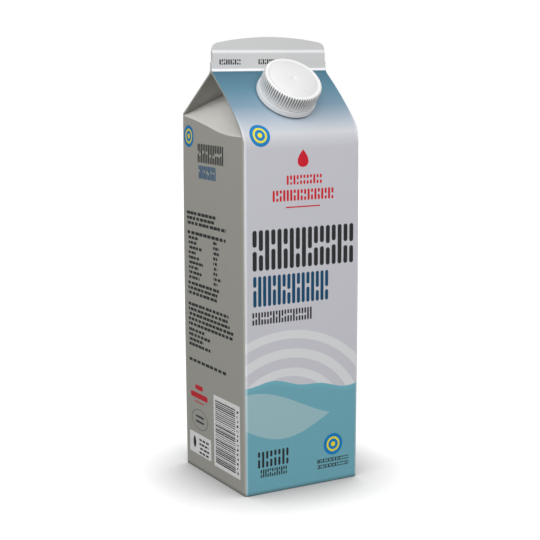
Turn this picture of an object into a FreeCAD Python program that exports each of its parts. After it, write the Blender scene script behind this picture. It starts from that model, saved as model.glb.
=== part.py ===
import FreeCAD, Part
import math
import os
import PartDesign
import Sketcher
from FreeCAD import Placement, Rotation, Vector

# Gable-top carton with a screw cap on its front roof panel.
# X runs across the carton, Y from front to back, Z up. The origin is the middle of the base.

SIZES = {
    # folded tube
    "pack_width": 70.0,
    "pack_depth": 70.0,
    "corner_radius": 1.8,
    "board": 0.48,
    # gable
    "front_shoulder_height": 184.2,
    "back_crease_rise": 15.2,
    "shoulder_radius": 19.5,
    "roof_bulge_radius": 201.0,
    "ridge_rise": 39.8,
    "ridge_cove_radius": 4.5,
    "fold_radius": 1.1,
    # gussets
    "side_front_rise": 6.65,
    "side_level_run": 9.6,
    "side_dip_radius": 110.0,
    "side_swell_radius": 347.0,
    "gusset_web": 2.0,
    # sealed fin
    "fin_inset": 0.5,
    "fin_root_depth": 4.0,
    "band_height": 10.7,
    "band_round": 2.0,
    "fin_rise": 17.7,
    "fin_arch_radius": 165.0,
    "fin_corner_radius": 4.2,
    # folded base
    "base_rim": 2.2,
    "base_recess": 1.3,
    "base_edge_radius": 0.8,
    "base_flap_overlap": 7.0,
    # spout
    "neck_radius": 15.3,
    "neck_height": 4.3,
    "neck_root": 3.0,
    "ring_ridge_gap": 5.3,
    "ring_clearance": 0.15,
    "ring_lift": 0.8,
    "ring_cap_gap": 0.3,
    "ring_foot_wall": 1.2,
    "ring_top_wall": 0.85,
    "ring_edge_radius": 0.35,
    # screw cap
    "cap_wall": 0.75,
    "cap_height": 9.0,
    "cap_rim_radius": 1.3,
    "cap_lip_height": 0.5,
    "rib_count": 70,
    "groove_depth": 0.45,
    "groove_width": 0.95,
    "rib_run_out": 1.3,
    "top_ring_inset": 2.65,
    "top_ring_width": 0.5,
    "top_ring_depth": 0.15,
    "gate_mark_radius": 1.3,
    "gate_mark_depth": 0.3,
    # how far a cut is carried past the board it removes
    "cut_margin": 5.0,
}

# what follows from the sizes above
DERIVED = {
    "back_crease_height": "Sizes.front_shoulder_height + Sizes.back_crease_rise",
    "side_front_height": "Sizes.front_shoulder_height + Sizes.side_front_rise",
    "ridge_height": "Sizes.front_shoulder_height + Sizes.ridge_rise",
    "fin_width": "Sizes.pack_width - 2 * Sizes.fin_inset",
    "fin_peak_height": "Sizes.front_shoulder_height + Sizes.ridge_rise + Sizes.fin_rise",
    "ring_bore": "Sizes.neck_radius + Sizes.ring_clearance",
    "ring_foot_radius": "Sizes.neck_radius + Sizes.ring_clearance + Sizes.ring_foot_wall",
    "ring_top_radius": "Sizes.neck_radius + Sizes.ring_clearance + Sizes.ring_top_wall",
    "ring_top_height": "Sizes.neck_height - Sizes.ring_cap_gap",
    "cap_radius": "Sizes.neck_radius + Sizes.cap_wall",
    "cap_top_height": "Sizes.neck_height + Sizes.cap_height",
    "top_ring_radius": "Sizes.neck_radius + Sizes.cap_wall - Sizes.top_ring_inset",
}

doc = FreeCAD.newDocument("SouredMilkCarton")
sheet = doc.addObject("Spreadsheet::Sheet", "Sizes")
for row, (alias, value) in enumerate(SIZES.items(), start=1):
    sheet.set("A%d" % row, alias)
    sheet.set("B%d" % row, str(value))
    sheet.setAlias("B%d" % row, alias)
doc.recompute()
derived = doc.addObject("App::VarSet", "Derived")
for name, text in DERIVED.items():
    derived.addProperty("App::PropertyFloat", name)
    derived.setExpression(name, text)
doc.recompute()


def size(name):
    return float(getattr(derived if name in DERIVED else sheet, name))


# ---------- sketch helpers ----------

def originPlane(body, role):
    for feature in body.Origin.OriginFeatures:
        if feature.Role == role:
            return feature
    raise RuntimeError("no plane " + role)


def newSketch(body, name, role, shift=None):
    sketch = body.newObject("Sketcher::SketchObject", name)
    sketch.AttachmentSupport = [(originPlane(body, role), "")]
    sketch.MapMode = "FlatFace"
    if shift:
        sketch.setExpression("AttachmentOffset.Base.z", shift)
    return sketch


def addLine(sketch, start, end, helper=False):
    segment = Part.LineSegment(Vector(start[0], start[1], 0), Vector(end[0], end[1], 0))
    return sketch.addGeometry(segment, helper)


def addArc(sketch, centre, radius, start, end):
    # counter-clockwise from the start point to the end point
    first = math.atan2(start[1] - centre[1], start[0] - centre[0])
    last = math.atan2(end[1] - centre[1], end[0] - centre[0])
    circle = Part.Circle(Vector(centre[0], centre[1], 0), Vector(0, 0, 1), radius)
    return sketch.addGeometry(Part.ArcOfCircle(circle, first, last), False)


def rule(sketch, kind, *where):
    return sketch.addConstraint(Sketcher.Constraint(kind, *where))


def bound(sketch, kind, where, value, expression):
    index = sketch.addConstraint(Sketcher.Constraint(kind, *where, value))
    sketch.setExpression("Constraints[%d]" % index, expression)


def setX(sketch, where, value, expression):
    bound(sketch, "DistanceX", (-1, 1) + where, value, expression)


def setY(sketch, where, value, expression):
    bound(sketch, "DistanceY", (-1, 1) + where, value, expression)


def joinCorners(sketch, lines):
    for here, there in zip(lines, lines[1:]):
        rule(sketch, "Coincident", here, 2, there, 1)


def centredRectangle(sketch, halfX, halfY, exprX, exprY):
    points = [(-halfX, -halfY), (halfX, -halfY), (halfX, halfY), (-halfX, halfY)]
    lines = [addLine(sketch, points[i], points[(i + 1) % 4]) for i in range(4)]
    joinCorners(sketch, lines + lines[:1])
    for i, line in enumerate(lines):
        rule(sketch, "Vertical" if i % 2 else "Horizontal", line)
    setX(sketch, (lines[0], 1), -halfX, "-(%s)" % exprX)
    setX(sketch, (lines[0], 2), halfX, exprX)
    setY(sketch, (lines[0], 1), -halfY, "-(%s)" % exprY)
    setY(sketch, (lines[2], 1), halfY, exprY)
    return lines


def meet(centreA, radiusA, centreB, radiusB):
    # the lower of the two points at these distances from two centres
    gap = centreB - centreA
    span = gap.Length
    along = (radiusA ** 2 - radiusB ** 2 + span ** 2) / (2 * span)
    off = math.sqrt(radiusA ** 2 - along ** 2)
    axis = gap / span
    middle = centreA + axis * along
    normal = Vector(-axis.y, axis.x, 0)
    return min((middle + normal * off, middle - normal * off), key=lambda point: point.y)


def toward(start, end, distance):
    return start + (end - start).normalize() * distance


# ---------- shape of the side profile, as Y and Z ----------

halfWidth = size("pack_width") / 2
halfDepth = size("pack_depth") / 2
twoBoards = 2 * size("board")
ridge = Vector(0, size("ridge_height"), 0)
backCorner = Vector(halfDepth, size("back_crease_height"), 0)
shoulderCentre = Vector(-halfDepth + size("shoulder_radius"), size("front_shoulder_height"), 0)
bulgeCentre = meet(shoulderCentre, size("roof_bulge_radius") - size("shoulder_radius"),
                   ridge, size("roof_bulge_radius"))
backSlope = math.atan2(ridge.y - backCorner.y, halfDepth)
margin = size("cut_margin")
openTop = size("fin_peak_height") + margin


def shoulderPoint(depth):
    # where shoulder and bulge meet, on the surface this far under the roof
    return toward(bulgeCentre, shoulderCentre, size("roof_bulge_radius") - depth)


def gableSketch(body):
    # the two regions cut away: in front of and behind the ridge
    sketch = newSketch(body, "GableOutline", "YZ_Plane")
    cove = size("ridge_cove_radius")
    face = twoBoards
    top = sketch.addGeometry(Part.Point(ridge), True)
    rule(sketch, "PointOnObject", top, 1, -2)
    setY(sketch, (top, 1), ridge.y, "Derived.ridge_height")

    # front: shoulder, bulged roof, cove, then round outside
    coveX = -face - cove
    reach = size("roof_bulge_radius") + cove
    coveCentre = Vector(coveX, bulgeCentre.y + math.sqrt(reach ** 2 - (coveX - bulgeCentre.x) ** 2), 0)
    shoulderFoot = (-halfDepth, shoulderCentre.y)
    turn = shoulderPoint(0)
    coveFoot = toward(bulgeCentre, coveCentre, size("roof_bulge_radius"))
    coveTop = (-face, coveCentre.y)
    shoulder = addArc(sketch, shoulderCentre, size("shoulder_radius"), turn, shoulderFoot)
    bulge = addArc(sketch, bulgeCentre, size("roof_bulge_radius"), coveFoot, turn)
    coveArc = addArc(sketch, coveCentre, cove, coveFoot, coveTop)
    rim = [coveTop, (-face, openTop), (-halfDepth - margin, openTop),
           (-halfDepth - margin, shoulderCentre.y), shoulderFoot]
    lines = [addLine(sketch, rim[i], rim[i + 1]) for i in range(4)]
    joinCorners(sketch, lines)
    rule(sketch, "Tangent", shoulder, 1, bulge, 2)
    rule(sketch, "Tangent", bulge, 1, coveArc, 1)
    rule(sketch, "Tangent", coveArc, 2, lines[0], 1)
    rule(sketch, "Coincident", lines[3], 2, shoulder, 2)
    rule(sketch, "Vertical", lines[0])
    rule(sketch, "Horizontal", lines[1])
    rule(sketch, "Vertical", lines[2])
    rule(sketch, "Horizontal", lines[3])
    rule(sketch, "Horizontal", shoulder, 2, shoulder, 3)
    rule(sketch, "PointOnObject", top, 1, bulge)
    bound(sketch, "Radius", (shoulder,), size("shoulder_radius"), "Sizes.shoulder_radius")
    bound(sketch, "Radius", (bulge,), size("roof_bulge_radius"), "Sizes.roof_bulge_radius")
    bound(sketch, "Radius", (coveArc,), cove, "Sizes.ridge_cove_radius")
    setX(sketch, (shoulder, 2), -halfDepth, "-Sizes.pack_depth / 2")
    setY(sketch, (shoulder, 2), shoulderCentre.y, "Sizes.front_shoulder_height")
    setX(sketch, (lines[0], 1), -face, "-2 * Sizes.board")
    setY(sketch, (lines[0], 2), openTop, "Derived.fin_peak_height + Sizes.cut_margin")
    setX(sketch, (lines[2], 1), -halfDepth - margin, "-Sizes.pack_depth / 2 - Sizes.cut_margin")

    # back: folded crease, flat roof, cove, then round outside
    normal = Vector(math.sin(backSlope), math.cos(backSlope), 0)
    fold = size("fold_radius")
    foldCentre = Vector(halfDepth - fold, 0, 0)
    foldCentre.y = backCorner.y - fold * (1 - normal.x) / normal.y
    foldFoot = (halfDepth, foldCentre.y)
    foldTop = foldCentre + normal * fold
    coveX = face + cove
    coveY = backCorner.y + (cove - (coveX - halfDepth) * normal.x) / normal.y
    coveCentre = Vector(coveX, coveY, 0)
    coveFoot = coveCentre - normal * cove
    coveTop = (face, coveY)
    corner = sketch.addGeometry(Part.Point(backCorner), True)
    crease = addArc(sketch, foldCentre, fold, foldFoot, foldTop)
    roof = addLine(sketch, foldTop, coveFoot)
    coveArc = addArc(sketch, coveCentre, cove, coveTop, coveFoot)
    rim = [coveTop, (face, openTop), (halfDepth + margin, openTop),
           (halfDepth + margin, foldCentre.y), foldFoot]
    lines = [addLine(sketch, rim[i], rim[i + 1]) for i in range(4)]
    joinCorners(sketch, lines)
    rule(sketch, "Coincident", lines[3], 2, crease, 1)
    rule(sketch, "Tangent", crease, 2, roof, 1)
    rule(sketch, "Tangent", roof, 2, coveArc, 2)
    rule(sketch, "Tangent", coveArc, 1, lines[0], 1)
    rule(sketch, "Vertical", lines[0])
    rule(sketch, "Horizontal", lines[1])
    rule(sketch, "Vertical", lines[2])
    rule(sketch, "Horizontal", lines[3])
    rule(sketch, "Horizontal", crease, 1, crease, 3)
    rule(sketch, "PointOnObject", top, 1, roof)
    rule(sketch, "PointOnObject", corner, 1, roof)
    bound(sketch, "Radius", (coveArc,), cove, "Sizes.ridge_cove_radius")
    bound(sketch, "Radius", (crease,), fold, "Sizes.fold_radius")
    setX(sketch, (corner, 1), halfDepth, "Sizes.pack_depth / 2")
    setY(sketch, (corner, 1), backCorner.y, "Derived.back_crease_height")
    setX(sketch, (crease, 1), halfDepth, "Sizes.pack_depth / 2")
    setX(sketch, (lines[0], 1), face, "2 * Sizes.board")
    setY(sketch, (lines[0], 2), openTop, "Derived.fin_peak_height + Sizes.cut_margin")
    setX(sketch, (lines[2], 1), halfDepth + margin, "Sizes.pack_depth / 2 + Sizes.cut_margin")
    return sketch


def tubeSketch(body):
    # square plan with rounded corners
    sketch = newSketch(body, "TubePlan", "XY_Plane")
    radius = size("corner_radius")
    inX = halfWidth - radius
    inY = halfDepth - radius
    sides = [((-inX, -halfDepth), (inX, -halfDepth)), ((halfWidth, -inY), (halfWidth, inY)),
             ((inX, halfDepth), (-inX, halfDepth)), ((-halfWidth, inY), (-halfWidth, -inY))]
    centres = [(inX, -inY), (inX, inY), (-inX, inY), (-inX, -inY)]
    lines = [addLine(sketch, *side) for side in sides]
    arcs = [addArc(sketch, centres[i], radius, sides[i][1], sides[(i + 1) % 4][0]) for i in range(4)]
    for i in range(4):
        rule(sketch, "Tangent", lines[i], 2, arcs[i], 1)
        rule(sketch, "Tangent", arcs[i], 2, lines[(i + 1) % 4], 1)
        rule(sketch, "Vertical" if i % 2 else "Horizontal", lines[i])
    for arc in arcs[1:]:
        rule(sketch, "Equal", arcs[0], arc)
    bound(sketch, "Radius", (arcs[0],), radius, "Sizes.corner_radius")
    setX(sketch, (lines[1], 1), halfWidth, "Sizes.pack_width / 2")
    setX(sketch, (lines[3], 1), -halfWidth, "-Sizes.pack_width / 2")
    setY(sketch, (lines[0], 1), -halfDepth, "-Sizes.pack_depth / 2")
    setY(sketch, (lines[2], 1), halfDepth, "Sizes.pack_depth / 2")
    return sketch


def finSketch(body):
    # section of the fin: four boards thick in the band, two above it
    sketch = newSketch(body, "FinSection", "YZ_Plane")
    root = ridge.y - size("fin_root_depth")
    bandTop = ridge.y + size("band_height")
    bandShoulder = bandTop - size("band_round")
    step = size("board")
    sweep = (size("band_round") ** 2 + step ** 2) / (2 * step)
    half = [(twoBoards, root), (twoBoards, bandShoulder), (step, bandTop), (step, openTop)]
    right = addLine(sketch, half[0], half[1])
    rightArc = addArc(sketch, (twoBoards - sweep, bandShoulder), sweep, half[1], half[2])
    rightTop = addLine(sketch, half[2], half[3])
    top = addLine(sketch, half[3], (-step, openTop))
    leftTop = addLine(sketch, (-step, openTop), (-step, bandTop))
    leftArc = addArc(sketch, (sweep - twoBoards, bandShoulder), sweep, (-step, bandTop),
                     (-twoBoards, bandShoulder))
    left = addLine(sketch, (-twoBoards, bandShoulder), (-twoBoards, root))
    bottom = addLine(sketch, (-twoBoards, root), half[0])
    rule(sketch, "Tangent", right, 2, rightArc, 1)
    rule(sketch, "Coincident", rightArc, 2, rightTop, 1)
    joinCorners(sketch, [rightTop, top, leftTop])
    rule(sketch, "Coincident", leftTop, 2, leftArc, 1)
    rule(sketch, "Tangent", leftArc, 2, left, 1)
    joinCorners(sketch, [left, bottom, right])
    for line in (right, rightTop, leftTop, left):
        rule(sketch, "Vertical", line)
    for line in (top, bottom):
        rule(sketch, "Horizontal", line)
    rule(sketch, "Horizontal", rightArc, 1, leftArc, 2)
    rule(sketch, "Horizontal", rightArc, 2, leftArc, 1)
    setX(sketch, (right, 1), twoBoards, "2 * Sizes.board")
    setX(sketch, (left, 2), -twoBoards, "-2 * Sizes.board")
    setX(sketch, (rightTop, 2), step, "Sizes.board")
    setX(sketch, (leftTop, 1), -step, "-Sizes.board")
    setY(sketch, (right, 1), root, "Derived.ridge_height - Sizes.fin_root_depth")
    setY(sketch, (right, 2), bandShoulder, "Derived.ridge_height + Sizes.band_height - Sizes.band_round")
    setY(sketch, (rightTop, 1), bandTop, "Derived.ridge_height + Sizes.band_height")
    setY(sketch, (top, 1), openTop, "Derived.fin_peak_height + Sizes.cut_margin")
    return sketch


def finArchSketch(body):
    # the region above the arched top edge of the fin
    sketch = newSketch(body, "FinArch", "XZ_Plane")
    half = size("fin_width") / 2
    corner = size("fin_corner_radius")
    arch = size("fin_arch_radius")
    archCentre = Vector(0, size("fin_peak_height") - arch, 0)
    cornerZ = archCentre.y + math.sqrt((arch - corner) ** 2 - (half - corner) ** 2)
    rightCentre = Vector(half - corner, cornerZ, 0)
    leftCentre = Vector(corner - half, cornerZ, 0)
    rightTurn = toward(archCentre, rightCentre, arch)
    leftTurn = toward(archCentre, leftCentre, arch)
    rightCorner = addArc(sketch, rightCentre, corner, (half, cornerZ), rightTurn)
    crown = addArc(sketch, archCentre, arch, rightTurn, leftTurn)
    leftCorner = addArc(sketch, leftCentre, corner, leftTurn, (-half, cornerZ))
    rim = [(-half, cornerZ), (-half - margin, cornerZ), (-half - margin, openTop + margin),
           (half + margin, openTop + margin), (half + margin, cornerZ), (half, cornerZ)]
    lines = [addLine(sketch, rim[i], rim[i + 1]) for i in range(5)]
    joinCorners(sketch, lines)
    rule(sketch, "Tangent", rightCorner, 2, crown, 1)
    rule(sketch, "Tangent", crown, 2, leftCorner, 1)
    rule(sketch, "Coincident", leftCorner, 2, lines[0], 1)
    rule(sketch, "Coincident", lines[4], 2, rightCorner, 1)
    for i, line in enumerate(lines):
        rule(sketch, "Vertical" if i % 2 else "Horizontal", line)
    rule(sketch, "Horizontal", rightCorner, 1, rightCorner, 3)
    rule(sketch, "Horizontal", leftCorner, 2, leftCorner, 3)
    rule(sketch, "PointOnObject", crown, 3, -2)
    rule(sketch, "Equal", rightCorner, leftCorner)
    bound(sketch, "Radius", (rightCorner,), corner, "Sizes.fin_corner_radius")
    bound(sketch, "Radius", (crown,), arch, "Sizes.fin_arch_radius")
    setY(sketch, (crown, 3), archCentre.y, "Derived.fin_peak_height - Sizes.fin_arch_radius")
    setX(sketch, (rightCorner, 1), half, "Derived.fin_width / 2")
    setX(sketch, (leftCorner, 2), -half, "-Derived.fin_width / 2")
    setX(sketch, (lines[1], 1), -half - margin, "-Derived.fin_width / 2 - Sizes.cut_margin")
    setX(sketch, (lines[3], 1), half + margin, "Derived.fin_width / 2 + Sizes.cut_margin")
    setY(sketch, (lines[2], 1), openTop + margin, "Derived.fin_peak_height + 2 * Sizes.cut_margin")
    return sketch


def gussetSketch(body):
    # mouth of the side recess: curved side crease below, undersides of the two roofs above
    sketch = newSketch(body, "GussetMouth", "YZ_Plane", "-Sizes.pack_width / 2")
    level = size("side_front_height")
    dip = size("side_dip_radius")
    swell = size("side_swell_radius")
    levelEnd = Vector(-halfDepth + size("side_level_run"), level, 0)
    dipCentre = Vector(levelEnd.x, level + dip, 0)
    swellCentre = meet(backCorner, swell, dipCentre, dip + swell)
    turn = toward(swellCentre, dipCentre, swell)
    under = size("shoulder_radius") - twoBoards
    underBulge = size("roof_bulge_radius") - twoBoards
    frontEnd = Vector(shoulderCentre.x - math.sqrt(under ** 2 - (level - shoulderCentre.y) ** 2), level, 0)
    normal = Vector(math.sin(backSlope), math.cos(backSlope), 0)
    along = Vector(-math.cos(backSlope), math.sin(backSlope), 0)
    roofStart = backCorner - normal * twoBoards
    peak = topMeeting(roofStart, along, underBulge)
    backEnd = creaseMeeting(roofStart, along, swellCentre, swell)

    top = sketch.addGeometry(Part.Point(ridge), True)
    rule(sketch, "PointOnObject", top, 1, -2)
    setY(sketch, (top, 1), ridge.y, "Derived.ridge_height")
    outer = addLine(sketch, backCorner, ridge, True)
    rule(sketch, "Coincident", outer, 2, top, 1)
    setX(sketch, (outer, 1), halfDepth, "Sizes.pack_depth / 2")
    setY(sketch, (outer, 1), backCorner.y, "Derived.back_crease_height")

    shoulder = addArc(sketch, shoulderCentre, under, shoulderPoint(twoBoards), frontEnd)
    bulge = addArc(sketch, bulgeCentre, underBulge, peak, shoulderPoint(twoBoards))
    roof = addLine(sketch, peak, backEnd)
    swellArc = addArc(sketch, swellCentre, swell, backEnd, turn)
    dipArc = addArc(sketch, dipCentre, dip, levelEnd, turn)
    flat = addLine(sketch, levelEnd, frontEnd)
    rule(sketch, "Tangent", shoulder, 1, bulge, 2)
    rule(sketch, "Coincident", bulge, 1, roof, 1)
    rule(sketch, "Coincident", roof, 2, swellArc, 1)
    rule(sketch, "Tangent", swellArc, 2, dipArc, 2)
    rule(sketch, "Tangent", dipArc, 1, flat, 1)
    rule(sketch, "Coincident", flat, 2, shoulder, 2)
    rule(sketch, "Horizontal", flat)
    rule(sketch, "Parallel", roof, outer)
    rule(sketch, "PointOnObject", outer, 1, swellArc)
    bound(sketch, "Distance", (top, 1, roof), twoBoards, "2 * Sizes.board")
    bound(sketch, "Distance", (top, 1, bulge, 3), size("roof_bulge_radius"), "Sizes.roof_bulge_radius")
    bound(sketch, "Radius", (shoulder,), under, "Sizes.shoulder_radius - 2 * Sizes.board")
    bound(sketch, "Radius", (bulge,), underBulge, "Sizes.roof_bulge_radius - 2 * Sizes.board")
    bound(sketch, "Radius", (swellArc,), swell, "Sizes.side_swell_radius")
    bound(sketch, "Radius", (dipArc,), dip, "Sizes.side_dip_radius")
    setX(sketch, (shoulder, 3), shoulderCentre.x, "-Sizes.pack_depth / 2 + Sizes.shoulder_radius")
    setY(sketch, (shoulder, 3), shoulderCentre.y, "Sizes.front_shoulder_height")
    setX(sketch, (flat, 1), levelEnd.x, "-Sizes.pack_depth / 2 + Sizes.side_level_run")
    setY(sketch, (flat, 1), level, "Derived.side_front_height")
    return sketch, peak


def topMeeting(start, along, radius):
    # where the underside of the flat roof meets the underside of the bulged roof
    offset = start - bulgeCentre
    middle = offset.dot(along)
    reach = -middle + math.sqrt(middle ** 2 - offset.dot(offset) + radius ** 2)
    other = -middle - math.sqrt(middle ** 2 - offset.dot(offset) + radius ** 2)
    return start + along * min((reach, other), key=lambda far: abs((start + along * far).x))


def creaseMeeting(start, along, centre, radius):
    # where the underside of the flat roof starts on the side crease
    offset = start - centre
    middle = offset.dot(along)
    root = math.sqrt(middle ** 2 - offset.dot(offset) + radius ** 2)
    return start + along * min((-middle - root, -middle + root), key=abs)


def tipSketch(body, peak):
    # the point where a gusset ends, half a web from the middle plane
    sketch = newSketch(body, "GussetTip", "YZ_Plane", "-Sizes.gusset_web / 2")
    tip = sketch.addGeometry(Part.Point(Vector(0, peak.y, 0)), False)
    rule(sketch, "PointOnObject", tip, 1, -2)
    setY(sketch, (tip, 1), peak.y, "GussetMouth.Shape.BoundBox.ZMax")
    return sketch


def baseSketch(body):
    sketch = newSketch(body, "BaseOutline", "XY_Plane")
    inset = size("base_rim")
    centredRectangle(sketch, halfWidth - inset, halfDepth - inset,
                     "Sizes.pack_width / 2 - Sizes.base_rim", "Sizes.pack_depth / 2 - Sizes.base_rim")
    return sketch


def flapSketch(body):
    # the outer flap lies one board lower than the other and ends past the middle
    sketch = newSketch(body, "FlapOutline", "XY_Plane", "Sizes.base_recess")
    inX = halfWidth - size("base_rim")
    inY = halfDepth - size("base_rim")
    points = [(-inX, -inY), (inX, -inY), (inX, size("base_flap_overlap")), (-inX, size("base_flap_overlap"))]
    lines = [addLine(sketch, points[i], points[(i + 1) % 4]) for i in range(4)]
    joinCorners(sketch, lines + lines[:1])
    for i, edge in enumerate(lines):
        rule(sketch, "Vertical" if i % 2 else "Horizontal", edge)
    setX(sketch, (lines[0], 1), -inX, "Sizes.base_rim - Sizes.pack_width / 2")
    setX(sketch, (lines[0], 2), inX, "Sizes.pack_width / 2 - Sizes.base_rim")
    setY(sketch, (lines[0], 1), -inY, "Sizes.base_rim - Sizes.pack_depth / 2")
    setY(sketch, (lines[2], 1), size("base_flap_overlap"), "Sizes.base_flap_overlap")
    return sketch


# ---------- carton ----------

def addFeature(body, kind, name, profile=None):
    feature = body.newObject("PartDesign::" + kind, name)
    if profile is not None:
        feature.Profile = profile
    return feature


def edgesOf(shape, test):
    return ["Edge%d" % (i + 1) for i, edge in enumerate(shape.Edges) if test(edge)]


def near(first, second, slack=0.01):
    return abs(first - second) < slack


def makeCarton():
    body = doc.addObject("PartDesign::Body", "Carton")
    body.Label = "carton"

    tube = addFeature(body, "Pad", "Tube", tubeSketch(body))
    tube.setExpression("Length", "Derived.ridge_height + Sizes.ridge_cove_radius")
    doc.recompute()

    gable = addFeature(body, "Pocket", "Gable", gableSketch(body))
    gable.Midplane = True
    gable.setExpression("Length", "Sizes.pack_width + 2 * Sizes.cut_margin")
    doc.recompute()

    fin = addFeature(body, "Pad", "Fin", finSketch(body))
    fin.Midplane = True
    fin.setExpression("Length", "Derived.fin_width")
    doc.recompute()

    arch = addFeature(body, "Pocket", "FinEdge", finArchSketch(body))
    arch.Midplane = True
    arch.setExpression("Length", "2 * Sizes.cut_margin")
    doc.recompute()

    mouth, peak = gussetSketch(body)
    doc.recompute()
    tip = tipSketch(body, peak)
    gusset = addFeature(body, "SubtractiveLoft", "Gusset", mouth)
    gusset.Sections = [(tip, ["Vertex1"])]
    gusset.Ruled = True
    doc.recompute()

    otherGusset = addFeature(body, "Mirrored", "OtherGusset")
    otherGusset.Originals = [gusset]
    otherGusset.MirrorPlane = (originPlane(body, "YZ_Plane"), [""])
    body.Tip = otherGusset
    doc.recompute()

    # base: standing rim round a pushed-in bottom, closed by two overlapping flaps
    recess = addFeature(body, "Pocket", "BaseRecess", baseSketch(body))
    recess.Reversed = True
    recess.setExpression("Length", "Sizes.base_recess")
    doc.recompute()
    flap = addFeature(body, "Pad", "BaseFlap", flapSketch(body))
    flap.Reversed = True
    flap.setExpression("Length", "Sizes.board")
    doc.recompute()

    foot = addFeature(body, "Fillet", "BaseEdge")
    foot.Base = (flap, edgesOf(flap.Shape, isFootEdge))
    foot.setExpression("Radius", "Sizes.base_edge_radius")
    doc.recompute()
    return body


def isFootEdge(edge):
    # the outer edge of the standing rim
    box = edge.BoundBox
    inside = size("base_rim") / 2
    reachX = max(abs(box.XMin), abs(box.XMax))
    reachY = max(abs(box.YMin), abs(box.YMax))
    return near(box.ZMax, 0) and (reachX > halfWidth - inside or reachY > halfDepth - inside)


# ---------- spout ----------

def spoutPlace():
    # on the front roof and square to it, as far below the ridge as the ring's foot and its gap need
    chord = size("ring_foot_radius") + size("ring_ridge_gap")
    ridgeTurn = math.atan2(bulgeCentre.x, ridge.y - bulgeCentre.y)
    turn = ridgeTurn + 2 * math.asin(chord / (2 * size("roof_bulge_radius")))
    outward = Vector(0, -math.sin(turn), math.cos(turn))
    foot = Vector(0, bulgeCentre.x, bulgeCentre.y) + outward * size("roof_bulge_radius")
    return Placement(foot, Rotation(Vector(1, 0, 0), math.degrees(turn)))


def turnedSketch(body, name, points, expressions):
    # a closed outline of radius and height, every corner placed by the sheet
    sketch = newSketch(body, name, "XZ_Plane")
    lines = [addLine(sketch, points[i], points[(i + 1) % len(points)]) for i in range(len(points))]
    joinCorners(sketch, lines + lines[:1])
    for line, point, (exprR, exprZ) in zip(lines, points, expressions):
        setX(sketch, (line, 1), point[0], exprR)
        setY(sketch, (line, 1), point[1], exprZ)
    return sketch


def turned(body, kind, name, sketch):
    feature = addFeature(body, kind, name, sketch)
    feature.ReferenceAxis = (sketch, ["V_Axis"])
    feature.Angle = 360
    doc.recompute()
    return feature


def makeNeck():
    # carried below the roof, then cut to it
    core = doc.addObject("Part::Cylinder", "NeckCore")
    core.setExpression("Radius", "Sizes.neck_radius")
    core.setExpression("Height", "Sizes.neck_height + Sizes.neck_root")
    core.Placement = spoutPlace().multiply(Placement(Vector(0, 0, -size("neck_root")), Rotation()))
    neck = doc.addObject("Part::Cut", "Neck")
    neck.Label = "spout_neck"
    neck.Base = core
    neck.Tool = doc.getObject("FinEdge")
    doc.recompute()
    return neck


def makeRing():
    # the tear-off band, flared towards the roof
    body = doc.addObject("PartDesign::Body", "Ring")
    body.Label = "tamper_ring"
    inner = size("ring_bore")
    low = size("ring_lift")
    high = size("ring_top_height")
    innerText = "Derived.ring_bore"
    highText = "Derived.ring_top_height"
    sketch = turnedSketch(body, "RingSection",
                          [(inner, low), (size("ring_foot_radius"), low), (size("ring_top_radius"), high),
                           (inner, high)],
                          [(innerText, "Sizes.ring_lift"), ("Derived.ring_foot_radius", "Sizes.ring_lift"),
                           ("Derived.ring_top_radius", highText), (innerText, highText)])
    band = turned(body, "Revolution", "Band", sketch)
    edges = edgesOf(band.Shape, lambda edge: near(edge.BoundBox.ZMin, edge.BoundBox.ZMax)
                    and edge.BoundBox.XMax > inner + size("ring_clearance"))
    soft = addFeature(body, "Fillet", "BandEdges")
    soft.Base = (band, edges)
    soft.setExpression("Radius", "Sizes.ring_edge_radius")
    doc.recompute()
    body.Placement = spoutPlace()
    return body


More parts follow.
